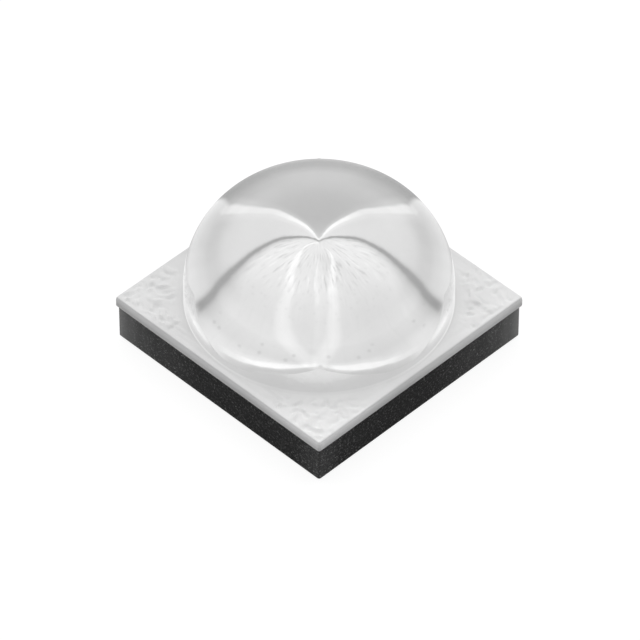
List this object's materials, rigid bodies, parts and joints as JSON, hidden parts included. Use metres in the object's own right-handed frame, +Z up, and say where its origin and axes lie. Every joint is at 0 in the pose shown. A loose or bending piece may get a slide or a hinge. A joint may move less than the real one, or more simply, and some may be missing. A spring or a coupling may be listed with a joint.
{
  "type": "high power led",
  "caption": "Square surface-mount power LED: dark ceramic base, white silicone reflector film, clear dome lens, and gold solder pads with a central thermal pad underneath.",
  "frame": {"origin": "centre of the soldering side, at the lowest face of the solder pads", "axes": "+Z up through the dome's top, +X from the cathode to the anode, +Y along the pads towards the marked end of the cathode pad"},
  "size_m": [0.0034, 0.0034, 0.0022],
  "materials": {
    "ceramic": "matte, finely speckled, dark grey",
    "gold_plating": "thin satin gold over copper",
    "copper": "plated solid copper",
    "solder": "dull reflowed solder",
    "contact_metal": "smooth thin metal",
    "crystal_layer": "smooth crystal",
    "sapphire": "clear polished crystal",
    "silicon": "polished silicon",
    "white_silicone": "satin white, softly rippled at the corners",
    "clear_silicone": "clear and glossy"
  },
  "bodies": {
    "root": {"ceramic_substrate": "ceramic", "anode_pad": "gold_plating", "cathode_pad": "gold_plating", "thermal_pad": "gold_plating", "anode_via_1": "copper", "anode_via_2": "copper", "anode_via_3": "copper", "anode_via_4": "copper", "cathode_via_1": "copper", "cathode_via_2": "copper", "cathode_via_3": "copper", "cathode_via_4": "copper", "anode_trace": "gold_plating", "cathode_trace": "gold_plating", "chip_anode_solder": "solder", "chip_cathode_solder": "solder", "chip_anode_contact": "contact_metal", "chip_cathode_contact": "contact_metal", "chip_light_layer": "crystal_layer", "chip_sapphire": "sapphire", "diode_anode_solder": "solder", "diode_cathode_solder": "solder", "protection_diode": "silicon", "reflector_film": "white_silicone", "dome_lens": "clear_silicone"}
  },
  "joints": []
}
